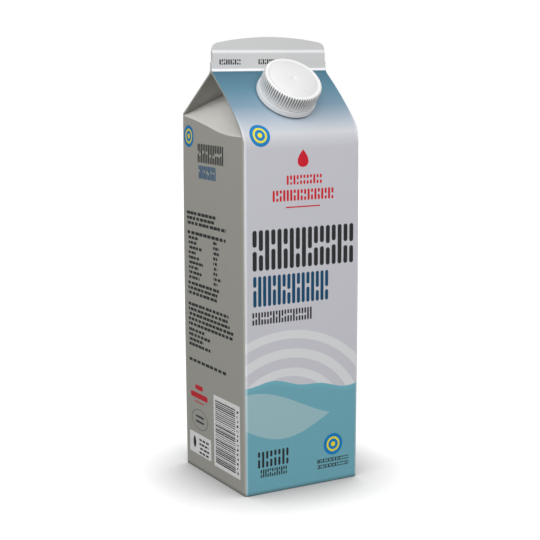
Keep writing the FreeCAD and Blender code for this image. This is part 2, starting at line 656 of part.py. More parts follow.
def makeCap():
    body = doc.addObject("PartDesign::Body", "Cap")
    body.Label = "screw_cap"
    radius = size("cap_radius")
    low = size("neck_height")
    high = size("cap_top_height")
    sketch = turnedSketch(body, "CapSection", [(0, low), (radius, low), (radius, high), (0, high)],
                          [("0", "Sizes.neck_height"), ("Derived.cap_radius", "Sizes.neck_height"),
                           ("Derived.cap_radius", "Derived.cap_top_height"), ("0", "Derived.cap_top_height")])
    shell = turned(body, "Revolution", "Shell", sketch)
    rim = addFeature(body, "Fillet", "Rim")
    rim.Base = (shell, edgesOf(shell.Shape, lambda edge: near(edge.BoundBox.ZMin, high)
                               and near(edge.BoundBox.XMax, radius)))
    rim.setExpression("Radius", "Sizes.cap_rim_radius")
    doc.recompute()

    # one groove between ribs, repeated round the skirt
    groove = addFeature(body, "Pocket", "RibGroove", grooveSketch(body))
    groove.Reversed = True
    groove.setExpression("Length", "Derived.cap_top_height - Sizes.neck_height - Sizes.cap_lip_height"
                         " - Sizes.rib_run_out")
    doc.recompute()
    ribs = addFeature(body, "PolarPattern", "Ribs")
    ribs.Originals = [groove]
    ribs.Axis = (originAxis(body, "Z_Axis"), [""])
    ribs.Angle = 360
    ribs.setExpression("Occurrences", "Sizes.rib_count")
    body.Tip = ribs
    doc.recompute()

    # moulding ring and gate mark in the flat top
    ringInner = size("top_ring_radius") - size("top_ring_width") / 2
    ringOuter = size("top_ring_radius") + size("top_ring_width") / 2
    ringFloor = high - size("top_ring_depth")
    floorText = "Derived.cap_top_height - Sizes.top_ring_depth"
    innerText = "Derived.top_ring_radius - Sizes.top_ring_width / 2"
    outerText = "Derived.top_ring_radius + Sizes.top_ring_width / 2"
    ringCut = turnedSketch(body, "TopRingSection",
                           [(ringInner, high), (size("top_ring_radius"), ringFloor), (ringOuter, high)],
                           [(innerText, "Derived.cap_top_height"), ("Derived.top_ring_radius", floorText),
                            (outerText, "Derived.cap_top_height")])
    turned(body, "Groove", "TopRing", ringCut)
    mark = size("gate_mark_radius")
    markFloor = high - size("gate_mark_depth")
    markText = "Derived.cap_top_height - Sizes.gate_mark_depth"
    markCut = turnedSketch(body, "GateMarkSection", [(mark, high), (mark / 2, markFloor), (0, high)],
                           [("Sizes.gate_mark_radius", "Derived.cap_top_height"),
                            ("Sizes.gate_mark_radius / 2", markText), ("0", "Derived.cap_top_height")])
    turned(body, "Groove", "GateMark", markCut)
    body.Placement = spoutPlace()
    return body


def originAxis(body, role):
    for feature in body.Origin.OriginFeatures:
        if feature.Role == role:
            return feature
    raise RuntimeError("no axis " + role)


def grooveSketch(body):
    # a notch as wide as its size where it meets the skirt, drawn to twice its depth
    sketch = newSketch(body, "GrooveSection", "XY_Plane", "Sizes.neck_height + Sizes.cap_lip_height")
    outer = size("cap_radius") + size("groove_depth")
    inner = size("cap_radius") - size("groove_depth")
    half = size("groove_width")
    points = [(inner, 0), (outer, -half), (outer, half)]
    lines = [addLine(sketch, points[i], points[(i + 1) % 3]) for i in range(3)]
    joinCorners(sketch, lines + lines[:1])
    rule(sketch, "Vertical", lines[1])
    rule(sketch, "PointOnObject", lines[0], 1, -1)
    setX(sketch, (lines[0], 1), inner, "Derived.cap_radius - Sizes.groove_depth")
    setX(sketch, (lines[1], 1), outer, "Derived.cap_radius + Sizes.groove_depth")
    setY(sketch, (lines[1], 1), -half, "-Sizes.groove_width")
    setY(sketch, (lines[1], 2), half, "Sizes.groove_width")
    return sketch


# ---------- build, check and export ----------

carton = makeCarton()
pieces = [carton, makeNeck(), makeRing(), makeCap()]
doc.recompute()

for thing in doc.Objects:
    if "Invalid" in thing.State or "Error" in thing.State:
        raise RuntimeError("%s failed: %s" % (thing.Name, thing.State))

os.makedirs("parts", exist_ok=True)
for piece in pieces:
    shape = piece.Shape
    if shape.isNull() or not shape.isValid() or len(shape.Solids) != 1:
        raise RuntimeError("%s is not one valid solid" % piece.Label)
    shape.exportStep("parts/%s.step" % piece.Label)
    print(piece.Label, "%.1f mm3" % shape.Volume)
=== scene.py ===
import math

import bmesh
import bpy
from mathutils import Matrix, Vector


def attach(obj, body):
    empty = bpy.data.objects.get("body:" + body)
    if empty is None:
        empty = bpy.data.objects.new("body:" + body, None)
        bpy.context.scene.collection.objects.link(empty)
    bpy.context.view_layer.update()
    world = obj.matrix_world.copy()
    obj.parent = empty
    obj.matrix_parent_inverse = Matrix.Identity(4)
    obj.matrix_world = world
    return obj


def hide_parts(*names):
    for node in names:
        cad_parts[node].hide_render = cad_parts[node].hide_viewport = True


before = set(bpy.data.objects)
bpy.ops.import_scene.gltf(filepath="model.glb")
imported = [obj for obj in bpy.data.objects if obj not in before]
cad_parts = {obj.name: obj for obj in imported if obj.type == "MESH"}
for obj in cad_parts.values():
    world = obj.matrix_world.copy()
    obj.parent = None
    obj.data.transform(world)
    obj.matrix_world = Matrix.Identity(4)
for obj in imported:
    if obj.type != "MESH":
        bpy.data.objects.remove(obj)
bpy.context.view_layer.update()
mm = 0.001


def paint(red, green, blue):
    # screen values from 0 to 255, as the linear colour that a shader takes
    shares = [value / 255 for value in (red, green, blue)]
    return [share / 12.92 if share < 0.04045 else ((share + 0.055) / 1.055) ** 2.4
            for share in shares] + [1.0]


view = {
    "azimuth": -29.835,  # degrees round the pack from square in front
    "elevation": 9.526,
    "roll": 0.139,
    "distance": 0.7201,
    "target": (0.00023, 0.0, 0.11461),
    "lens": 86.66,
    "sensor": 36.0,
}


def placeCamera():
    turn = math.radians(view["azimuth"])
    lift = math.radians(view["elevation"])
    away = Vector((math.sin(turn) * math.cos(lift), -math.cos(turn) * math.cos(lift), math.sin(lift)))
    data = bpy.data.cameras.new("viewCamera")
    data.lens = view["lens"]
    data.sensor_width = view["sensor"]
    data.clip_start = 0.01
    camera = bpy.data.objects.new("viewCamera", data)
    bpy.context.scene.collection.objects.link(camera)
    aim = away.to_track_quat("Z", "Y").to_matrix().to_4x4()
    camera.matrix_world = (Matrix.Translation(Vector(view["target"]) + away * view["distance"])
                           @ aim @ Matrix.Rotation(math.radians(-view["roll"]), 4, "Z"))
    bpy.context.scene.camera = camera


studio = {
    "skyStrength": 0.36,
    "floorSize": 6.0,
    "floorSeen": (0.18, 0.18, 0.18, 1),
    "floorBounce": (0.24, 0.24, 0.24, 1),
    "floorLift": 0.90,  # added where the camera sees the floor, so that it reads white
    "shadeMiddle": (-0.02, -0.045, 0.0),  # the shade lies a little before the pack
    "whiteFrom": 0.06,  # metres from there, and where the floor is white by itself
    "whiteBy": 0.26,
    "contactReach": 0.046,
    "contactPower": 1.75,
}

lamps = {  # where each soft lamp stands, seen from the pack, how far, how wide and how strong
    "keyLight": ((-0.18, -0.76, 0.62), 1.5, 1.5, 18.4),
    "topLight": ((-0.45, 0.25, 0.86), 1.3, 0.8, 1.2),
    "sideLight": ((-0.80, -0.14, 0.58), 1.4, 0.9, 5.0),
    "backLight": ((0.72, 0.62, 0.30), 1.6, 1.2, 10.0),
}


def placeLights():
    for name, (side, distance, width, power) in lamps.items():
        data = bpy.data.lights.new(name, "AREA")
        data.shape = "DISK"
        data.size = width
        data.energy = power
        lamp = bpy.data.objects.new(name, data)
        bpy.context.scene.collection.objects.link(lamp)
        direction = Vector(side).normalized()
        lamp.matrix_world = (Matrix.Translation(direction * distance + Vector(view["target"]))
                             @ direction.to_track_quat("Z", "Y").to_matrix().to_4x4())

    world = bpy.data.worlds.new("studioWorld")
    bpy.context.scene.world = world
    world.use_nodes = True
    world.node_tree.nodes.clear()
    wires = Wiring(world.node_tree)
    sky = wires.add("ShaderNodeBackground")
    sky.inputs["Strength"].default_value = studio["skyStrength"]
    white = wires.add("ShaderNodeBackground")
    white.inputs["Strength"].default_value = 1.0
    for background in (sky, white):
        background.inputs["Color"].default_value = (1, 1, 1, 1)
    path = wires.add("ShaderNodeLightPath")
    seen = wires.calc("MAXIMUM", path.outputs["Is Camera Ray"], path.outputs["Is Transmission Ray"])
    pick = wires.add("ShaderNodeMixShader")
    wires.feed(pick.inputs[0], seen)
    wires.feed(pick.inputs[1], sky.outputs[0])
    wires.feed(pick.inputs[2], white.outputs[0])
    wires.feed(wires.add("ShaderNodeOutputWorld").inputs["Surface"], pick.outputs[0])


def placeFloor():
    mesh = bpy.data.meshes.new("floor")
    shape = bmesh.new()
    bmesh.ops.create_grid(shape, x_segments=1, y_segments=1, size=studio["floorSize"] / 2)
    shape.to_mesh(mesh)
    shape.free()
    floor = bpy.data.objects.new("floor", mesh)
    bpy.context.scene.collection.objects.link(floor)
    material = bpy.data.materials.new("paleFloor")
    material.use_nodes = True
    material.node_tree.nodes.clear()
    wires = Wiring(material.node_tree)
    path = wires.add("ShaderNodeLightPath")
    seen = path.outputs["Is Camera Ray"]
    matt = wires.add("ShaderNodeBsdfDiffuse")
    wires.feed(matt.inputs["Color"], wires.over(studio["floorBounce"], studio["floorSeen"], seen))
    near = wires.add("ShaderNodeAmbientOcclusion", samples=8)
    near.inputs["Distance"].default_value = studio["contactReach"]
    openness = wires.calc("POWER", near.outputs["AO"], studio["contactPower"])
    away = wires.add("ShaderNodeVectorMath", operation="DISTANCE")
    wires.feed(away.inputs[0], wires.add("ShaderNodeTexCoord").outputs["Object"])
    away.inputs[1].default_value = studio["shadeMiddle"]
    white = wires.fade(away.outputs["Value"], studio["whiteFrom"], studio["whiteBy"])
    strength = wires.calc("MULTIPLY_ADD", white, 1 - studio["floorLift"], studio["floorLift"])
    lift = wires.add("ShaderNodeEmission")
    wires.feed(lift.inputs["Strength"], wires.both(seen, openness, strength))
    both = wires.add("ShaderNodeAddShader")
    wires.feed(both.inputs[0], matt.outputs[0])
    wires.feed(both.inputs[1], lift.outputs[0])
    wires.feed(wires.add("ShaderNodeOutputMaterial").inputs["Surface"], both.outputs[0])
    mesh.materials.append(material)


class Wiring:
    def __init__(self, tree):
        self.tree = tree

    def add(self, kind, **settings):
        made = self.tree.nodes.new(kind)
        for name, value in settings.items():
            setattr(made, name, value)
        return made

    def feed(self, socket, value):
        # a value is another node's output, a number or a colour
        if isinstance(value, bpy.types.NodeSocket):
            self.tree.links.new(value, socket)
        else:
            socket.default_value = value

    def calc(self, operation, *values):
        made = self.add("ShaderNodeMath", operation=operation)
        for socket, value in zip(made.inputs, values):
            self.feed(socket, value)
        return made.outputs[0]

    def fade(self, value, start, end):
        # 0 before the start, 1 after the end
        made = self.add("ShaderNodeMapRange", clamp=True)
        for name, fed in (("Value", value), ("From Min", start), ("From Max", end)):
            self.feed(made.inputs[name], fed)
        return made.outputs["Result"]

    def inside(self, distance, soft=0.16):
        # 1 where a signed distance is below zero
        return self.fade(distance, soft / 2, -soft / 2)

    def between(self, value, low, high, soft=0.16):
        middle = (low + high) / 2
        reach = (high - low) / 2
        off = self.calc("ABSOLUTE", self.calc("SUBTRACT", value, middle))
        return self.inside(self.calc("SUBTRACT", off, reach), soft)

    def both(self, first, *more):
        for mask in more:
            first = self.calc("MULTIPLY", first, mask)
        return first

    def either(self, first, *more):
        for mask in more:
            first = self.calc("MAXIMUM", first, mask)
        return first

    def reach(self, u, v, centreU, centreV, stretch=1.0):
        # distance from a point of the panel
        du = self.calc("SUBTRACT", u, centreU)
        dv = self.calc("MULTIPLY", self.calc("SUBTRACT", v, centreV), stretch)
        square = self.calc("ADD", self.calc("MULTIPLY", du, du), self.calc("MULTIPLY", dv, dv))
        return self.calc("SQRT", square)

    def box(self, u, v, left, right, low, high, corner=0.6):
        # a field with round corners
        du = self.calc("SUBTRACT", u, (left + right) / 2)
        du = self.calc("SUBTRACT", self.calc("ABSOLUTE", du), (right - left) / 2 - corner)
        dv = self.calc("SUBTRACT", v, (low + high) / 2)
        dv = self.calc("SUBTRACT", self.calc("ABSOLUTE", dv), (high - low) / 2 - corner)
        du = self.calc("MAXIMUM", du, 0.0)
        dv = self.calc("MAXIMUM", dv, 0.0)
        square = self.calc("ADD", self.calc("MULTIPLY", du, du), self.calc("MULTIPLY", dv, dv))
        return self.inside(self.calc("SUBTRACT", self.calc("SQRT", square), corner))

    def over(self, base, top, mask):
        # a colour laid over another where the mask is 1
        made = self.add("ShaderNodeMix", data_type="RGBA")
        self.feed(made.inputs["Factor"], mask)
        self.feed(made.inputs[6], base)
        self.feed(made.inputs[7], top)
        return made.outputs[2]

    def group(self, tree, **values):
        made = self.add("ShaderNodeGroup", node_tree=tree)
        for name, value in values.items():
            self.feed(made.inputs[name], value)
        return made.outputs[0]

    def noise(self, vector, scale, detail=2.0):
        made = self.add("ShaderNodeTexNoise")
        self.feed(made.inputs["Vector"], vector)
        made.inputs["Scale"].default_value = scale
        made.inputs["Detail"].default_value = detail
        return made.outputs["Fac"]


def newGroup(name, inputs):
    tree = bpy.data.node_groups.new(name, "ShaderNodeTree")
    for label in inputs:
        tree.interface.new_socket(label, in_out="INPUT", socket_type="NodeSocketFloat")
    tree.interface.new_socket("Mask", in_out="OUTPUT", socket_type="NodeSocketFloat")
    wires = Wiring(tree)
    given = wires.add("NodeGroupInput").outputs
    return tree, wires, given


def closeGroup(wires, mask):
    wires.feed(wires.add("NodeGroupOutput").inputs[0], mask)


strokeBreak = {
    "chance": 0.55,  # the share of strokes that are broken
    "lowest": 0.4,  # where the lowest break is, as a share of the height
    "spread": 0.36,
    "gap": 0.85,  # of a stroke's width
}


def strokeRowGroup():
    # upright rounded strokes, one to a cell, those that chance picks broken near the middle
    tree, wires, given = newGroup("strokeRow", ["u", "v", "left", "right", "low", "tall",
                                                "pitch", "stroke", "seed"])
    along = wires.calc("DIVIDE", wires.calc("SUBTRACT", given["u"], given["left"]), given["pitch"])
    cell = wires.calc("FLOOR", along)
    chance = wires.add("ShaderNodeTexWhiteNoise", noise_dimensions="1D")
    wires.feed(chance.inputs["W"], wires.calc("ADD", cell, given["seed"]))
    pick = chance.outputs["Value"]
    broken = wires.calc("LESS_THAN", pick, strokeBreak["chance"])
    gap = wires.both(broken, given["stroke"], strokeBreak["gap"])
    share = wires.calc("MULTIPLY_ADD", pick, strokeBreak["spread"], strokeBreak["lowest"])
    split = wires.calc("MULTIPLY_ADD", share, given["tall"], given["low"])
    above = wires.calc("GREATER_THAN", given["v"], split)
    top = wires.calc("ADD", given["low"], given["tall"])
    # the part of the stroke on this side of the break
    start = wires.both(above, broken, wires.calc("SUBTRACT", split, given["low"]))
    start = wires.calc("ADD", given["low"], wires.calc("ADD", start, wires.both(above, gap, 0.5)))
    cut = wires.calc("SUBTRACT", broken, wires.both(above, broken))
    end = wires.calc("ADD", wires.both(cut, wires.calc("SUBTRACT", split, top)), wires.both(cut, gap, -0.5))
    end = wires.calc("ADD", top, end)
    middle = wires.calc("MULTIPLY", wires.calc("ADD", start, end), 0.5)
    radius = wires.calc("MULTIPLY", given["stroke"], 0.5)
    half = wires.calc("MULTIPLY", wires.calc("SUBTRACT", end, start), 0.5)
    half = wires.calc("MAXIMUM", wires.calc("SUBTRACT", half, radius), 0.0)
    across = wires.calc("SUBTRACT", wires.calc("FRACT", along), 0.5)
    across = wires.calc("MULTIPLY", across, given["pitch"])
    up = wires.calc("SUBTRACT", wires.calc("ABSOLUTE", wires.calc("SUBTRACT", given["v"], middle)), half)
    up = wires.calc("MAXIMUM", up, 0.0)
    square = wires.calc("ADD", wires.calc("MULTIPLY", across, across), wires.calc("MULTIPLY", up, up))
    stroke = wires.inside(wires.calc("SUBTRACT", wires.calc("SQRT", square), radius))
    closeGroup(wires, wires.both(stroke, wires.calc("GREATER_THAN", given["u"], given["left"]),
                                 wires.calc("LESS_THAN", given["u"], given["right"])))
    return tree


wordShare = {
    "least": 0.7,  # of a word's cell that its bar fills, and how much more at most
    "spread": 0.24,
    "rowShift": 0.37,  # of a cell, from one row to the next
    "rowSeed": 3.7,
    "endSeed": 1.9,
}


def lineBlockGroup():
    # rows of short bars of uneven length, each row ending where chance puts it
    tree, wires, given = newGroup("lineBlock", ["u", "v", "left", "right", "top", "pitch", "rows",
                                                "tall", "word", "ragged", "seed"])
    down = wires.calc("DIVIDE", wires.calc("SUBTRACT", given["top"], given["v"]), given["pitch"])
    row = wires.calc("FLOOR", down)
    shift = wires.calc("MULTIPLY_ADD", row, wordShare["rowSeed"], given["seed"])
    along = wires.calc("DIVIDE", wires.calc("SUBTRACT", given["u"], given["left"]), given["word"])
    along = wires.calc("ADD", along, wires.calc("FRACT", wires.calc("MULTIPLY", row, wordShare["rowShift"])))
    cell = wires.calc("FLOOR", along)
    word = wires.add("ShaderNodeTexWhiteNoise", noise_dimensions="1D")
    wires.feed(word.inputs["W"], wires.calc("ADD", cell, shift))
    end = wires.add("ShaderNodeTexWhiteNoise", noise_dimensions="1D")
    wires.feed(end.inputs["W"], wires.calc("MULTIPLY_ADD", row, wordShare["endSeed"], given["seed"]))
    room = wires.calc("MULTIPLY_ADD", word.outputs["Value"], wordShare["spread"], wordShare["least"])
    inWord = wires.calc("LESS_THAN", wires.calc("FRACT", along), room)
    short = wires.calc("MULTIPLY", end.outputs["Value"], given["ragged"])
    limit = wires.calc("SUBTRACT", given["right"], short)
    offRow = wires.calc("ABSOLUTE", wires.calc("SUBTRACT", wires.calc("FRACT", down), 0.5))
    offRow = wires.calc("SUBTRACT", wires.calc("MULTIPLY", offRow, given["pitch"]),
                        wires.calc("MULTIPLY", given["tall"], 0.5))
    closeGroup(wires, wires.both(wires.inside(offRow, 0.2), inWord,
                                 wires.calc("GREATER_THAN", given["u"], given["left"]),
                                 wires.calc("LESS_THAN", given["u"], limit),
                                 wires.calc("GREATER_THAN", down, 0.0),
                                 wires.calc("LESS_THAN", down, given["rows"])))
    return tree


ink = {
    "board": paint(208, 208, 208),
    "ground": paint(198, 198, 205),
    "side": paint(168, 167, 159),
    "charcoal": paint(38, 40, 42),
    "navy": paint(8, 70, 104),
    "ocean": paint(0, 84, 126),
    "slate": paint(58, 62, 68),
    "red": paint(203, 22, 42),
    "blue": paint(8, 122, 186),
    "yellow": paint(232, 220, 40),
    "teal": paint(108, 167, 181),
    "tealEdge": paint(112, 176, 191),
    "tealLight": paint(152, 187, 194),
    "pale": paint(216, 217, 219),
    "white": paint(236, 236, 236),
    # bright: the colour of painted highlights
    "paintedHighlight": paint(246, 246, 250),
    "gusset": paint(208, 206, 200),
    "gussetDeep": paint(252, 251, 247),
    # fold and foldDeep: painted shade for the undersides of the folds, lighter further in
    "fold": paint(144, 143, 137),
    "foldDeep": paint(184, 183, 178),
}

roofReach = 40.0  # mm, the whole of the tint's scale

roofTint = [  # height over the shoulder's foot in mm, and the colour there
    (1.0, ink["ground"]),
    (4.0, paint(197, 198, 204)),
    (8.0, paint(202, 204, 209)),
    (13.0, paint(178, 187, 198)),
    (22.0, paint(120, 148, 167)),
    (31.0, paint(84, 127, 147)),
    (39.0, paint(68, 111, 131)),
]

profile = {  # the folded outline, in mm
    "shoulderFoot": 184.2,
    "shoulderRadius": 19.5,
    "shoulderAxis": -15.5,
    "printTop": 223.8,
    "half": 35.0,
}


disc = {  # in shares of its radius, but the soft edge in mm
    "bandInner": 0.5,
    "bandOuter": 0.68,
    "dot": 0.22,
    "soft": 0.12,
}


def roundMark(wires, u, v, centreU, centreV, radius, base):
    # a plain disc with a yellow ring and a dot
    far = wires.reach(u, v, centreU, centreV)
    base = wires.over(base, ink["blue"], wires.inside(wires.calc("SUBTRACT", far, radius)))
    band = wires.between(far, disc["bandInner"] * radius, disc["bandOuter"] * radius, disc["soft"])
    dot = wires.inside(wires.calc("SUBTRACT", far, disc["dot"] * radius))
    return wires.over(base, ink["yellow"], wires.either(band, dot))


water = {  # in mm on the panel, waves as (turn for each mm, start, height, level)
    "ringsU": -10.0,
    "ringsV": 34.0,
    "ringsStretch": 1.1,
    "rings": ((32.0, 37.0), (43.0, 48.5), (54.5, 59.5)),
    "swell": (-0.06, 0.2, 3.4, 57.5),
    "ripple": (0.21, 2.1),
    "rippleHeight": -0.9,
    "lensTop": (-0.052, -0.05, 9.0, 47.0),
    "lensFoot": (-0.062, -0.75, -8.5, 37.5),
    "edgeFrom": 0.3,  # where the lighter edge of the water starts to deepen, and where it has
    "edgeTo": 3.2,
    "soft": 0.1,
}


def wave(wires, operation, u, turn, start):
    return wires.calc(operation, wires.calc("MULTIPLY_ADD", u, turn, start))


def waterFields(wires, u, v, base):
    # pale rings, then water with a wave for its edge and a lighter lens in it
    soft = water["soft"]
    far = wires.reach(u, v, water["ringsU"], water["ringsV"], water["ringsStretch"])
    for inner, outer in water["rings"]:
        base = wires.over(base, ink["pale"], wires.between(far, inner, outer, 0.5))
    turn, start, height, level = water["swell"]
    swell = wires.calc("MULTIPLY_ADD", wave(wires, "SINE", u, turn, start), height, level)
    ripple = wires.calc("MULTIPLY", wave(wires, "SINE", u, *water["ripple"]), water["rippleHeight"])
    depth = wires.calc("SUBTRACT", wires.calc("ADD", swell, ripple), v)
    base = wires.over(base, ink["tealEdge"], wires.fade(depth, -soft, soft))
    base = wires.over(base, ink["teal"], wires.fade(depth, water["edgeFrom"], water["edgeTo"]))
    turn, start, height, level = water["lensTop"]
    top = wires.calc("MULTIPLY_ADD", wave(wires, "SINE", u, turn, start), height, level)
    turn, start, height, level = water["lensFoot"]
    foot = wires.calc("MULTIPLY_ADD", wave(wires, "COSINE", u, turn, start), height, level)
    lens = wires.both(wires.fade(wires.calc("SUBTRACT", top, v), -soft, soft),
                      wires.fade(wires.calc("SUBTRACT", v, foot), -soft, soft))
    return wires.over(base, ink["tealLight"], lens)


drop = {  # the red drop, and the rule under the two rows beneath it
    "low": 174.4,
    "tall": 9.2,
    "wide": 8.6,
    "rule": (-10.5, 10.5, 153.3, 154.0, 0.3),  # left, right, low, high, corner
}


def widePrint(wires, u, v, rise, strokes):
    # front and back: tinted roof, plain ground, headings as strokes, water below
    ramp = wires.add("ShaderNodeValToRGB")
    wires.feed(ramp.inputs["Fac"], wires.calc("DIVIDE", rise, roofReach))
    while len(ramp.color_ramp.elements) < len(roofTint):
        ramp.color_ramp.elements.new(0.5)
    for stop, (place, colour) in zip(ramp.color_ramp.elements, roofTint):
        stop.position = place / roofReach
        stop.color = colour
    base = waterFields(wires, u, v, ramp.outputs["Color"])

    rows = [  # left, right, low, tall, pitch, stroke, seed, colour
        (-31.2, 32.2, 121.4, 21.4, 3.73, 2.5, 11.0, "charcoal"),
        (-30.8, 16.2, 102.4, 16.2, 2.94, 1.95, 5.0, "navy"),
        (-31.2, 5.8, 92.8, 6.8, 1.76, 1.05, 23.0, "charcoal"),
        (-10.4, 11.9, 165.4, 5.0, 2.03, 1.2, 17.0, "red"),
        (-18.9, 19.3, 156.9, 6.0, 2.12, 1.3, 3.0, "red"),
        (-28.3, -8.3, 14.7, 9.0, 2.5, 1.35, 31.0, "charcoal"),
        (-26.4, -9.6, 9.2, 4.6, 1.4, 0.8, 41.0, "charcoal"),
        (9.4, 29.9, 11.3, 2.3, 1.14, 0.82, 7.0, "charcoal"),
        (9.4, 29.9, 8.1, 2.3, 1.14, 0.82, 9.0, "charcoal"),
    ]
    for left, right, low, tall, pitch, stroke, seed, colour in rows:
        mask = wires.group(strokes, u=u, v=v, left=left, right=right, low=low, tall=tall,
                           pitch=pitch, stroke=stroke, seed=seed)
        base = wires.over(base, ink[colour], mask)

    rule = wires.box(u, v, *drop["rule"])
    share = wires.calc("DIVIDE", wires.calc("SUBTRACT", v, drop["low"]), drop["tall"])
    share = wires.calc("MINIMUM", wires.calc("MAXIMUM", share, 0.0), 1.0)
    width = wires.calc("MULTIPLY", wires.calc("SQRT", share), wires.calc("SUBTRACT", 1.0, share))
    edge = wires.calc("SUBTRACT", wires.calc("ABSOLUTE", u), wires.calc("MULTIPLY", width, drop["wide"]))
    body = wires.both(wires.inside(edge), wires.calc("GREATER_THAN", width, 0.001))
    base = wires.over(base, ink["red"], wires.either(rule, body))
    base = roundMark(wires, u, v, 19.6, 21.2, 6.1, base)
    return roundMark(wires, u, v, -25.0, 191.7, 6.0, base)


bars = {
    "pitch": 1.16,
    "thinnest": 0.24,  # of the pitch, and how much more the widest is
    "spread": 0.46,
}


def barStack(wires, u, v, left, right, low, high):
    # plain bars of uneven width, one to a cell, lying one over the other
    along = wires.calc("DIVIDE", wires.calc("SUBTRACT", v, low), bars["pitch"])
    chance = wires.add("ShaderNodeTexWhiteNoise", noise_dimensions="1D")
    wires.feed(chance.inputs["W"], wires.calc("ADD", wires.calc("FLOOR", along), 0.5))
    width = wires.calc("MULTIPLY_ADD", chance.outputs["Value"], bars["spread"], bars["thinnest"])
    return wires.both(wires.calc("LESS_THAN", wires.calc("FRACT", along), width),
                      wires.between(u, left, right), wires.between(v, low, high))


def sidePrint(wires, u, backU, v, strokes, lines):
    # the two narrow panels: headings, blocks of fine lines, marks and a bar code
    base = ink["side"]
    for left, right, low, tall, pitch, stroke, seed, colour in (
            (-16.8, 13.6, 174.6, 10.4, 2.02, 1.42, 11.0, "charcoal"),
            (-15.6, 4.8, 165.9, 7.4, 1.56, 1.12, 5.0, "ocean")):
        mask = wires.group(strokes, u=u, v=v, left=left, right=right, low=low, tall=tall,
                           pitch=pitch, stroke=stroke, seed=seed)
        base = wires.over(base, ink[colour], mask)

    blocks = [  # left, right, top, pitch, rows, tall, word, ragged, seed
        (-30.3, 20.0, 147.6, 2.8, 3, 1.75, 4.4, 18.0, 2.0),
        (-29.8, 15.5, 136.6, 2.8, 1, 1.8, 4.8, 1.0, 4.0),
        (-28.6, -9.5, 133.8, 2.78, 9, 1.6, 3.9, 11.0, 8.0),
        (1.0, 10.0, 133.8, 2.78, 9, 1.6, 3.6, 5.0, 6.0),
        (-29.5, 8.5, 108.2, 2.75, 3, 1.7, 4.3, 9.0, 12.0),
        (-29.5, 25.8, 96.2, 2.8, 5, 1.7, 4.2, 16.0, 14.0),
        (-29.3, -2.0, 81.7, 2.8, 4, 1.7, 4.0, 10.0, 19.0),
        (-29.3, 15.5, 64.4, 2.8, 1, 1.7, 5.0, 1.0, 21.0),
    ]
    for left, right, top, pitch, count, tall, word, ragged, seed in blocks:
        mask = wires.group(lines, u=u, v=v, left=left, right=right, top=top, pitch=pitch, rows=count,
                           tall=tall, word=word, ragged=ragged, seed=seed)
        base = wires.over(base, ink["charcoal"], mask)

    longRow = wires.box(u, v, -28.2, -7.5, 41.6, 44.8, 1.4)
    shortRow = wires.box(u, v, -22.6, -13.2, 46.6, 49.4, 1.3)
    rule = wires.box(u, v, -23.5, -12.3, 39.2, 39.9, 0.3)
    base = wires.over(base, ink["red"], wires.either(longRow, shortRow, rule))
    oval = wires.reach(u, v, -17.5, 29.6, 10.0 / 5.8)
    base = wires.over(base, ink["slate"], wires.between(oval, 9.55, 10.0, 0.16))
    base = wires.over(base, ink["slate"], wires.both(wires.between(u, -22.5, -12.5), wires.either(
        wires.between(v, 30.6, 31.8), wires.between(v, 27.6, 28.8))))
    base = wires.over(base, ink["white"], wires.either(wires.box(u, v, -30.3, -4.0, 8.9, 21.0, 0.5),
                                                       wires.box(u, v, -0.3, 29.8, 8.0, 48.4, 0.4)))
    leaf = wires.both(wires.inside(wires.calc("SUBTRACT", wires.reach(u, v, -27.0, 15.4), 4.6)),
                      wires.inside(wires.calc("SUBTRACT", wires.reach(u, v, -21.4, 15.4), 4.6)))
    base = wires.over(base, ink["charcoal"], leaf)
    fine = wires.group(lines, u=u, v=v, left=-18.6, right=-5.4, top=19.2, pitch=2.5, rows=4, tall=1.2,
                       word=4.2, ragged=6.0, seed=27.0)
    base = wires.over(base, ink["charcoal"], fine)
    base = wires.over(base, ink["charcoal"], barStack(wires, u, v, 1.6, 24.6, 10.2, 46.2))
    marks = wires.group(lines, u=u, v=v, left=26.2, right=28.2, top=46.0, pitch=2.6, rows=14, tall=1.3,
                        word=3.0, ragged=0.4, seed=33.0)
    base = wires.over(base, ink["charcoal"], marks)
    return roundMark(wires, backU, v, -27.2, 188.3, 6.0, base)


